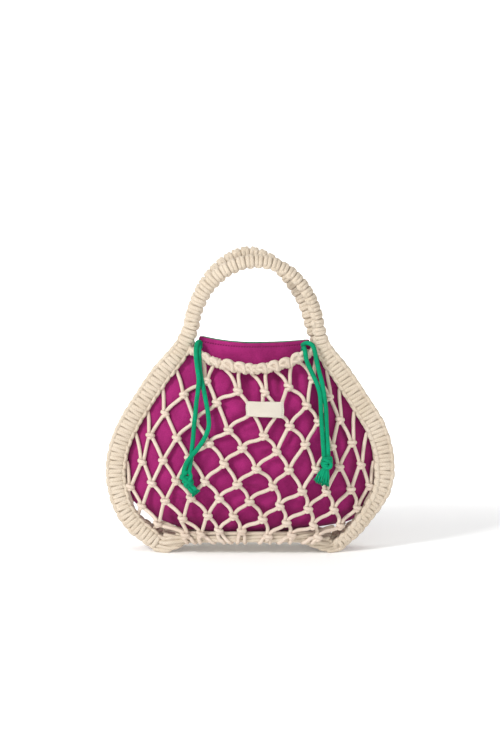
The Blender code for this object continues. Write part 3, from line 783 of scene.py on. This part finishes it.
def rim_knot(build, centre, rise, half, face):
    """Three arched cords, a filler under them and a cord across their foot."""
    twist = rng.normal(0.6, 0.7)
    for forward, tall, slide in ((3.2, 1.0, 0.0), (0.4, 0.72, 0.6), (-2.6, 0.9, 1.4)):
        path = []
        for t in np.linspace(-1, 1, 15):
            lift = (rise - 1.8) * tall * (1 - abs(t)**2.2) - 3.6 * abs(t)**2.4
            path.append(rim_point(centre + slide + half * math.sin(t * math.pi / 2), face,
                                  forward + 1.2 * (1 - t**2) + twist * t, lift))
        build.tube(path, 2.75)
    build.tube([rim_point(centre + half * t, face, 2.4, rise * 0.3 - 1.6 * t * t)
                for t in np.linspace(-0.75, 0.75, 7)], 2.9)
    build.tube([rim_point(centre + t * (half + 1.6), face, 4.9 - 2.4 * t * t, -t * (2.6 + twist) - 0.8)
                for t in np.linspace(-1, 1, 11)], 2.3, 9)


def rim_piece(face, word, look):
    """A knotted heading: filler cords, turns round them, and paired knots that stand above."""
    build = Build()
    left, right = inner_x(LEFT, RIM_END) - 4.0, inner_x(RIGHT, RIM_END) + 4.0
    for up, forward in ((2.0, 1.4), (-2.0, 1.6), (0.0, -1.8)):
        build.tube([rim_point(x, face, forward, up) for x in np.linspace(left, right, 50)], 2.5, 8)
    for x in np.arange(left + 1, right, 4.5):
        rim_turn(build, x, face)
    for centre, rise, half in RIM_BUMPS:
        rim_knot(build, centre, rise, half, face)
    build.finish(f"rim_{word}_knots", look, f"rim_{word}")


# Net

def knot_places(number, row):
    places = []
    for k, t in enumerate(np.linspace(0, 1, row.count)):
        x = row.left + (row.right - row.left) * t - row.spread * math.sin(math.tau * t) / math.tau
        x += row.shift * math.sin(math.pi * t)
        height = row.left_up + (row.right_up - row.left_up) * t
        height += row.bow * math.sin(math.pi * t) + row.tilt * math.sin(math.tau * t)
        x = max(inner_x(LEFT, height) + 4.3, min(x, inner_x(RIGHT, height) - 4.3))
        x, height = UNDER_LABEL.get((number, k), (x, height))
        across, up = OFF_ROW.get((number, k), (0, 0))
        places.append(np.array((x + across, height + up)))
    return places


def above(knot, hand):
    """Where a cord comes into a knot."""
    return knot + np.array((hand * 1.9, 3.0))


def below(knot, hand):
    """Where a cord leaves a knot."""
    return knot + np.array((hand * 2.3, -2.8))


def on_face(place, face, lift=0.0):
    x, height = place
    return np.array((x, face * (face_depth(x, height) + lift), height))


def face_normal(place, face):
    x, height = place
    a = on_face((x + 1.5, height), face) - on_face((x - 1.5, height), face)
    b = on_face((x, height + 1.5), face) - on_face((x, height - 1.5), face)
    n = unit(np.cross(a, b))
    return n if n[1] * face > 0 else -n


def turned(direction, degrees):
    """Turns a direction in the face, anticlockwise as seen from its front."""
    a = math.radians(degrees)
    x, z = direction
    return np.array((x * math.cos(a) - z * math.sin(a), x * math.sin(a) + z * math.cos(a)))


def strand(a, b, leave, arrive, pull=0.42):
    """Points in the face from a to b, with the directions at each end."""
    reach = np.linalg.norm(b - a) * pull
    t = np.linspace(0, 1, 17)[:, None]
    c1, c2 = a + unit(leave) * reach, b - unit(arrive) * reach
    return (1 - t)**3 * a + 3 * (1 - t)**2 * t * c1 + 3 * (1 - t) * t**2 * c2 + t**3 * b


def link(start, knot, hand):
    """A strand that comes into a knot from the side of hand. Flat strands bend more than steep ones."""
    end = above(knot, hand)
    direct = unit(end - start)
    to_right = direct[0] > 0
    slope = math.degrees(math.atan2(abs(direct[0]), -direct[1]))
    low = clamp((start[0] + 90) / 110) if to_right and start[1] < 95 else 0.0
    least, away, into = (0.25, 15, -34) if to_right else (0.4, 12, 20)
    bend = max(0.12, min(1.0, (slope - 18) / 30), low) * clamp((start[0] + 125) / 105, least)
    leave, arrive = turned(direct, away * bend + rng.normal(0, 3)), turned(direct, into * bend)
    if hand > 0 and np.allclose(knot, UNDER_LABEL[1, 2]):
        return strand(start, end, (0.0, -1.0), (-1.0, -0.25), 0.62)
    return strand(start, end, leave, arrive)


def rim_strands(knots):
    """The two cords from the rim to each top knot."""
    strands = []
    for knot, offsets in zip(knots, HANGS):
        for hand, offset in zip((LEFT, RIGHT), offsets):
            x = knot[0] + offset
            start = np.array((x, rim_height(x) - 5.0))
            end = above(knot, hand)
            leave = (0.9, -0.75) if offset < -8 else (-hand * 0.2 + (end[0] - x) * 0.03, -1.0)
            strands.append(strand(start, end, leave, unit(end - start) + (0, -0.8)))
    return strands


def edge_strands(rows, widest, hand):
    """The cords between one band and the outer knots: from it down to the widest row, and below to it."""
    strands = []
    knots = [row[0 if hand == LEFT else -1] for row in rows]
    for knot, height in zip(knots[1:], EDGE_HEIGHTS):
        start = np.array((inner_x(hand, height) - hand * 0.5, height))
        stop = above(knot, hand)
        direct = unit(stop - start)
        strands.append(strand(start, stop, direct + (-hand * 0.1, 0), direct * 0.7 + (0, -0.5)))
    for knot, drop in zip(knots[widest:], EDGE_DROPS):
        height = max(knot[1] - drop, 27.0)
        start, stop = below(knot, hand), np.array((inner_x(hand, height) + hand * 1.0, height))
        strands.append(strand(start, stop, (hand * 0.2, -1), unit(stop - start)))
    return strands


def net_strands():
    """Strands of the net and its knots, in the face, from the top down."""
    rows = [knot_places(number, row) for number, row in enumerate(KNOT_ROWS)]
    widest = max(range(len(rows)), key=lambda k: len(rows[k]))
    strands = rim_strands(rows[0])
    for r, (row, lower) in enumerate(zip(rows, rows[1:])):
        for k, knot in enumerate(row):
            left, right = (k, k + 1) if r < widest else (k - 1, k)
            if left >= 0:
                strands.append(link(below(knot, LEFT), lower[left], RIGHT))
            if right < len(lower):
                strands.append(link(below(knot, RIGHT), lower[right], LEFT))
    return rows, strands + edge_strands(rows, widest, LEFT) + edge_strands(rows, widest, RIGHT)


def knot_turns(build, place, face):
    """A small tight knot: a leaning turn and a smaller one below it."""
    out = face_normal(place, face)
    hidden = any(np.allclose(place, under) for under in UNDER_LABEL.values())
    centre = on_face(place, face, -0.9 if hidden else 0.9)
    up = unit(np.array((0, 0, 1.0)) - out * out[2])
    right = np.cross(up, out)
    right = right if right[0] > 0 else -right
    for lift, wide, deep, lean, radius, low in (
            (0.6, 3.9, 3.0, -17 + rng.normal(0, 8), 2.55, 0.2),
            (0.1, 2.3, 2.4, 12 + rng.normal(0, 10), 2.15, -3.3)):
        a = math.radians(lean)
        axis = right * math.cos(a) + up * math.sin(a)
        twist = np.cross(out, axis) * (np.sin(2 * circle(20)) * 0.35)[:, None]
        build.turn(centre + up * low, axis, wide, out, deep, radius, 9, flat=0.92, shift=out * lift + twist)


def net_piece(face, word, look, rows, strands):
    build = Build()
    lifts = -0.9 * np.sin(np.linspace(0, math.pi, len(strands[0]))) + 0.3
    for line in strands:
        path = [on_face(p, face, lift) for p, lift in zip(line, lifts)]
        build.tube(path, NET_CORD / 2 * (1 + rng.normal(0, 0.02)))
    for place in [place for row in rows for place in row]:
        knot_turns(build, place, face)
    for (knot_x, high), legs in zip(rows[-1], FORKS):
        for hand, reach in zip((LEFT, RIGHT), legs):
            x = knot_x + hand * 2.0
            route = [(x, face_depth(x, high) + 0.3, high - 2.5), (x + hand + reach * 0.35, 38.4, 20.5),
                     (x + reach * 0.75, 38.3, 16.8), (x + reach, 36.4, 14.4), (x + reach * 1.15, 30.0, 13.6)]
            build.cord(route, 16, NET_CORD / 2, mirror=(1, face, 1))
    build.finish(f"net_{word}_cords", look, f"net_{word}")


# Base

def add_laid_cords(build):
    """Cords side by side under the pouch. Each one's two ends run into a foot at the left and the right."""
    for k, lane in enumerate(np.linspace(-BASE_HALF, BASE_HALF, 14)):
        share = abs(lane) / BASE_HALF
        foot_y = math.copysign(7.5 + 20.5 * share, lane)
        sway = rng.normal(0, 0.35, 5)
        crown = 21.0 - 3.2 * share**2
        over = 4.0 * (k % 2)        # every second cord lies on the others at the feet
        route = [(-104, foot_y, 12.0 + over), (-92, foot_y * 1.1, 14.0 + over),
                 (-76, lane * 0.95, 17.5 - 1.5 * share), (-45, lane + sway[0], crown - 0.6 + sway[1]),
                 (-3, lane + sway[2], crown + 0.3), (39, lane + sway[3], crown - 0.6 + sway[4]),
                 (66, lane * 0.95, 17.0 - 1.5 * share), (82, foot_y * 1.1, 13.5 + over),
                 (94, foot_y, 11.5 + over)]
        build.cord(route, 46, 2.55)


def add_lip(build, face):
    """Cords along the front or the back of the base."""
    for depth, high in LIP_CORDS:
        sway = rng.normal(0, 0.3, 4)
        route = [(-88, depth - 5.0, high - 1.5), (-70, depth - 1.5, high - 0.4 + sway[0]),
                 (-30, depth + sway[1] * 0.5, high + sway[1]), (20, depth + sway[2] * 0.5, high + sway[2]),
                 (62, depth - 1.5, high - 0.4 + sway[3]), (80, depth - 5.0, high - 1.5)]
        build.cord(route, 40, 2.4, mirror=(1, face, 1))


def add_foot(build, hand, face):
    """Cords that fan out of a foot: the upper one goes on along the base, the rest turn under."""
    foot, high, mirror = FOOT_REACH[hand], FOOT_CORD_HIGH[hand], (hand, face, 1)
    route = [(foot + 1, 22.5, high + 1.5), (foot - 6, 24.5, high), (foot - 20, 29.0, high * 0.75 + 3.0),
             (foot - 34, 32.5, high * 0.45 + 9.5), (foot - 55, 35.2, 18.5), (foot - 80, 35.8, 16.2)]
    build.cord(route, 24, 2.5, mirror=mirror)
    radius = np.interp(np.linspace(0, 1, 16), (0, 0.6, 1), (2.7, 2.6, 0.9))
    for k, (rise, end, length) in enumerate(FINGERS[hand]):
        for layer in (0.0, 6.5, 12.5):
            y = 27.0 - layer - 0.5 * abs(k - 2)
            long = length * (1 - layer / 50)
            root = foot + 3.2 * (k - 2) - 2.0
            route = [(root + 4.0, y - 2.0, rise + 0.8)]
            for run, out, share, up in ((0.3, 0.4, 0.2, -1.3), (0.65, 1.6, 0.55, -0.6), (0.9, 0.2, 0.9, 1.0)):
                route.append((root - long * run, y + out, max(2.6, rise * (1 - share) + end * share + up)))
            route.append((root - long, y - 3.4, max(2.7, end + 2.2)))
            build.cord(route, 16, radius, mirror=mirror)


def base_piece(look):
    """Cords side by side under the pouch, which run into the four feet."""
    build = Build()
    add_laid_cords(build)
    for face in (FRONT, BACK):
        add_lip(build, face)
    for hand in (LEFT, RIGHT):
        for face in (FRONT, BACK):
            add_foot(build, hand, face)
    build.finish("base_cords_laid", look, "base_cords")


# Pouch

def pouch_shape(columns, levels, rows=POUCH_ROWS):
    """Outline of the pouch, level by level: front from left to right, then back."""
    spread = signed_power(np.sin(np.linspace(-0.5, 0.5, columns // 2) * math.pi), 0.92)
    points = []
    for height, left, right, side, middle in smooth(rows, levels):
        centre, half = (right - left) / 2, (right + left) / 2
        ring = []
        for face in (FRONT, BACK):
            for across in spread * -face:
                hand = RIGHT if across > 0 else LEFT
                depth = side * min(1.0, (1 - across**2)**0.5 * 2.6 + 0.25)
                depth += (middle - side) * (1 - abs(across)**POUCH_SWELL)
                if hand == RIGHT and height < 200:
                    depth *= 1 - 0.45 * clamp((across - 0.78) / 0.17)
                rise = MOUTH_RISE[hand] * across**2 * max(0.0, (height - NECK_FOOT) / 36)
                ring.append((centre + across * half, face * max(depth, 0.5), height + rise))
        points.append(ring)
    return np.array(points)


def creases(x, z):
    """Depth of the creases at a point of a face: each a valley with a soft ridge along its upper side."""
    depth = 0.0
    for x0, z0, x1, z1, deep, half in CREASES:
        long = math.hypot(x1 - x0, z1 - z0)
        ahead = ((x1 - x0) / long, (z1 - z0) / long)
        along = (x - x0) * ahead[0] + (z - z0) * ahead[1]
        if not -12 < along < long + 12:
            continue
        past = max(0.0, -along, along - long)
        fade = math.exp(-(past / 6.0)**2) * (0.6 + 0.4 * math.sin(math.pi * clamp(along / long)))
        off = (x - x0) * ahead[1] - (z - z0) * ahead[0] + 1.6 * math.sin(along * 0.16)
        ridge = math.exp(-((off + half * 2.0) / (half * 1.5))**2)
        depth += deep * fade * (math.exp(-(off / half)**2) - 0.42 * ridge)
    return depth


def ripple(x, z, phase):
    """Soft folds and creases of filled cloth, in mm."""
    bend = 9.0 * math.sin(z * 0.031 + phase) + 5.0 * math.sin(x * 0.027 + z * 0.019 + phase * 1.7)
    high = 0.35 + 1.1 * clamp((z - 150) / 60)
    fold = high * math.sin((x + bend) * 0.135 + 1.2 * math.sin(z * 0.05 + phase))
    fold += 0.9 * math.sin((x + bend) * 0.062 + (z - bend) * 0.078 + phase * 2.1)
    fold += 0.7 * math.sin((x - bend) * 0.105 - (z + bend) * 0.066 + phase * 3.7)
    for slope, pace, place, size in ((0.5, 0.048, 1.1, 0.9), (-0.8, 0.039, 2.6, 0.8), (0.12, 0.057, 4, 0.6)):
        across = math.sin(((z + bend) - (x - bend) * slope) * pace + place + phase)
        fold -= size * math.exp(-(across / 0.16)**2) * (0.5 + 0.5 * math.sin(x * 0.04 + z * 0.03 + place * 3))
    return fold


def press(points, strands):
    """The net presses the cloth in along its cords, and the cloth folds and fills out between them."""
    columns = points.shape[1]
    samples = np.vstack(strands)
    tree = kdtree.KDTree(len(samples))
    for k, (x, z) in enumerate(samples):
        tree.insert((x, z, 0), k)
    tree.balance()
    for k, (x, y, z) in enumerate(points.reshape(-1, 3)):
        face = FRONT if k % columns < columns // 2 else BACK
        near = tree.find((x, z, 0))[2]
        push = 1.6 * (1 - math.exp(-(near / 6.0)**2)) - 0.8
        if z > 226:         # free of the net above the rim
            push *= max(0.0, (240 - z) / 14)
        push += 0.8 * ripple(x, z, 0.6 if face == FRONT else 2.4) - 1.15 * creases(x * -face, z)
        points[k // columns, k % columns, 1] += face * min(1.0, abs(y) / 20.0) * push


def hem_rings(mouth):
    """Rings of the hem, which turns in at the mouth and goes down inside."""
    middle = mouth.mean(axis=0)
    rings = []
    for up, inset in ((0.7, 0.9), (-1.0, 1.7), (-4.0, 2.0), (-14.0, 2.0)):
        ring = mouth.copy()
        ring[:, 1] = np.sign(ring[:, 1]) * np.maximum(np.abs(ring[:, 1]) - inset, 0.25)
        ring[:, 0] = middle[0] + (ring[:, 0] - middle[0]) * (1 - inset / 63)
        ring[:, 2] += up
        rings.append(ring)
    return np.array(rings)


def pouch_piece(look, strands):
    columns, levels = 320, 150
    points = pouch_shape(columns, levels)
    press(points, strands)
    build = Build()
    closed = np.concatenate((points, points[:, :1]), axis=1)
    u = np.array([distances(ring) for ring in closed])
    v = points[:, :, 2].min(axis=1) - points[:, :, 2].min()
    v = np.broadcast_to((v - v[-1] + MOUTH_V)[:, None], u.shape)
    build.grid(points, np.stack((u, v), axis=-1), wrap=True)
    mouth_v = MOUTH_V + np.array((0, 1, 2, 5, 15))
    build.grid(np.concatenate((points[-1:], hem_rings(points[-1]))),
               np.stack(np.broadcast_arrays(u[-1], mouth_v[:, None]), axis=-1), wrap=True)
    foot, centre = points[0], points[0].mean(axis=0)
    floor = [foot] + [foot * share + centre * (1 - share) + (0, 0, 0.4) for share in (0.5, 0.02)]
    build.grid(np.array(floor), np.zeros((3, columns + 1, 2)), wrap=True)
    return build.finish("pouch_cloth", look, "pouch")


def thicken(item, name, offset):
    """Gives a sheet the wall of its cloth."""
    wall = item.modifiers.new(name, "SOLIDIFY")
    wall.thickness = WALL * MM
    wall.offset = offset


def lining_piece(look):
    """The green facing inside the mouth: its edge shows above the cloth."""
    columns, levels = 200, 12
    upper, lower = np.array(POUCH_ROWS[-1], float), np.array(POUCH_ROWS[-2], float)
    inset = np.array((0.0, 3.2, 3.2, 1.5, 2.2))
    rows = [lower * (1 - t) + upper * t - inset for t in (-0.1, 0.3, 0.7, 1.05)]
    build = Build()
    u, v = np.meshgrid(np.linspace(0, FACING_LONG, columns + 1), np.linspace(0, 17, levels))
    build.grid(pouch_shape(columns, levels, rows), np.stack((u, v), axis=-1), wrap=True)
    item = build.finish("mouth_facing", look, "mouth_lining")
    thicken(item, "cloth", -1)
    return item


# Label

def label_piece(look):
    """A blank woven tape, folded at its ends and sewn to the net."""
    wide, tall = LABEL_SIZE
    columns, levels = 46, 22
    us, vs = np.linspace(-0.5, 0.5, columns), np.linspace(-0.5, 0.5, levels)
    front = np.zeros((levels, columns, 3))
    for j, v in enumerate(vs):
        for i, u in enumerate(us):
            x = LABEL_CENTRE[0] + u * wide + 0.25 * math.sin(v * 9 + u * 4)
            height = LABEL_CENTRE[1] + v * tall - u * (1.7 - v * 1.6) + 0.15 * math.sin(u * 11)
            lift = 5.6 + 0.35 * math.sin(u * 7 + 1) + 0.3 * math.cos(v * 6 + u * 5)
            lift -= 0.5 * max(0.0, max(abs(u), abs(v)) * 2 - 0.86) / 0.14
            front[j, i] = (x, -(face_depth(x, height) + lift), height)
    build = Build()
    build.grid(front, np.stack(np.meshgrid(us * wide, vs * tall), axis=-1))
    item = build.finish("label_tape", look, "label")
    thicken(item, "tape", 0)
    edge = item.modifiers.new("edge", "BEVEL")
    edge.width = 0.3 * MM
    edge.segments = 2
    return item


# Drawstrings

def string_piece(name, look):
    route = smooth([(x, -forward, height) for x, forward, height in STRING_ROUTES[name]], 60)
    build = Build()
    build.tube(route, STRING_WIDE / 2, 14, out=(0, -1, 0.2), flat=0.88)
    item = build.finish(name.replace("drawstring", "string"), look, name)
    return item, route


def knot_piece(hand, look):
    """A pulled-tight knot: turns across its axis, and strands laid over them."""
    build = Build()
    knot = KNOTS[hand]
    centre, axis, out = np.array(knot.centre), unit(knot.axis), unit(KNOT_OUT)
    side = np.cross(axis, out)
    for along, wide, deep, lean in knot.turns:
        across = side + axis * math.tan(math.radians(lean))
        build.turn(centre + axis * along, across, wide, out, deep, knot.radius, 12, count=24)
    for route, count, radius in knot.strands:
        build.cord(route, count, radius, 12, flat=0.9)
    return build.finish(f"string_knot_{hand}", look, f"knot_{hand}")


def add_fray(build, top, down, spread, length, count, neck):
    """Loose threads at the end of a string."""
    down, out = unit(down), unit(KNOT_OUT)
    side = np.cross(down, out)
    for _ in range(count):
        a, r = rng.uniform(0, math.tau), math.sqrt(rng.uniform(0, 1))
        fan = side * math.cos(a) * r + out * math.sin(a) * r * 0.6
        end = length * rng.uniform(0.72, 1.05)
        curl = (side * rng.normal(0, 1) + out * rng.normal(0, 0.6)) * 0.8
        route = [top + fan * neck, top + down * end * 0.35 + fan * (neck + (spread - neck) * 0.45),
                 top + down * end * 0.7 + fan * (neck + (spread - neck) * 0.8) + curl * 0.5,
                 top + down * end + fan * spread + curl]
        build.cord(route, 8, rng.uniform(0.3, 0.5), 5)


def left_tassel(look):
    """Two short ends side by side, frayed together."""
    build = Build()
    top, down = np.array((-72.6, -50.6, 87.5)), unit((0.72, -0.08, -0.85))
    for shift, lift in ((-2.2, 0.0), (2.2, 0.8)):
        side = np.array((0.76, 0.0, 0.65)) * shift
        route = [top + side * 0.7, top + down * 4 + side, top + down * 8.5 + side * 1.1]
        build.cord(np.array(route) - (0, lift, 0), 12, 2.5, 12, flat=0.9)
    add_fray(build, top + down * 7.0, down, 5.6, 6.5, 110, 0.5)
    return build.finish("string_fray_left", look, "tassel_left")


def right_tassel(look):
    """Ends untwisted into plies, each frayed at its tip."""
    build = Build()
    top, down = np.array((90.8, -46.5, 108.5)), unit((-0.3, -0.12, -1.0))
    side = unit(np.cross(down, KNOT_OUT))
    side = side if side[0] > 0 else -side
    radius = np.interp(np.linspace(0, 1, 16), (0, 0.5, 1), (1.4, 1.65, 1.1))
    spread = (0, 2), (0.35, 4.4), (0.7, 6.6), (1, 7.6)
    for across, over, reach in PLIES:
        fan = side * across + np.array(KNOT_OUT) * over * 0.35
        build.cord([top + down * reach * t + fan * wide for t, wide in spread], 16, radius)
        add_fray(build, top + down * (reach - 3.0) + fan * 7.2, down + fan * 0.12, 1.9, 5.5, 20, 0.9)
    return build.finish("string_fray_right", look, "tassel_right")


# Assembly

stage()
green = cord_look("green_cotton", "green_cord", (0.0, 0.31, 0.15), (0.0, 0.22, 0.10), 0.0, 1.2)
strings = {name: string_piece(name, green) for name in STRING_ROUTES}
ends = {"drawstring_left_a": [knot_piece("left", green), left_tassel(green)],
        "drawstring_right_a": [knot_piece("right", green), right_tassel(green)]}

# painted light: the rims and the nets are of the bands' cord, in copies of its material painted a little
# lighter, the nets' more so
cream = cord_look("cream_cotton", "cotton_cord", (0.655, 0.567, 0.46), (0.58, 0.488, 0.376), 0.1)
rim_painted_lighter_look = cord_look("rim_cotton_painted_lighter", "cotton_cord", (0.675, 0.578, 0.478), (0.6, 0.497, 0.393), 0.1)
net_painted_lighter_look = cord_look("net_cotton_painted_lighter", "cotton_cord", (0.715, 0.602, 0.505), (0.64, 0.52, 0.418), 0.1)
rows, strands = net_strands()
for face, word in ((FRONT, "front"), (BACK, "back")):
    chain_pieces(face, word, cream)
    rim_piece(face, word, rim_painted_lighter_look)
    net_piece(face, word, net_painted_lighter_look, rows, strands)
base_piece(cream)

magenta = cloth_look("magenta_cotton", "pouch_cotton", (0.365, 0.0185, 0.16), (0.2, 0.0065, 0.082),
                     sheen=0.12, stitches=[Stitches("v", MOUTH_V - 4, 3.2, 0.0006, 0.95)])
pouch = pouch_piece(magenta, strands)
facing = lining_piece(cloth_look("green_facing", "green_facing", (0.004, 0.27, 0.12), (0.002, 0.2, 0.085)))
tape = cloth_look("label_tape", "label_tape", (0.63, 0.58, 0.495), (0.575, 0.52, 0.435), thread=0.3,
                  sheen=0.1, stitches=[Stitches("u", end, 2.2, 0.0004, 0.2) for end in (-21.0, 21.0)])
label_piece(tape)
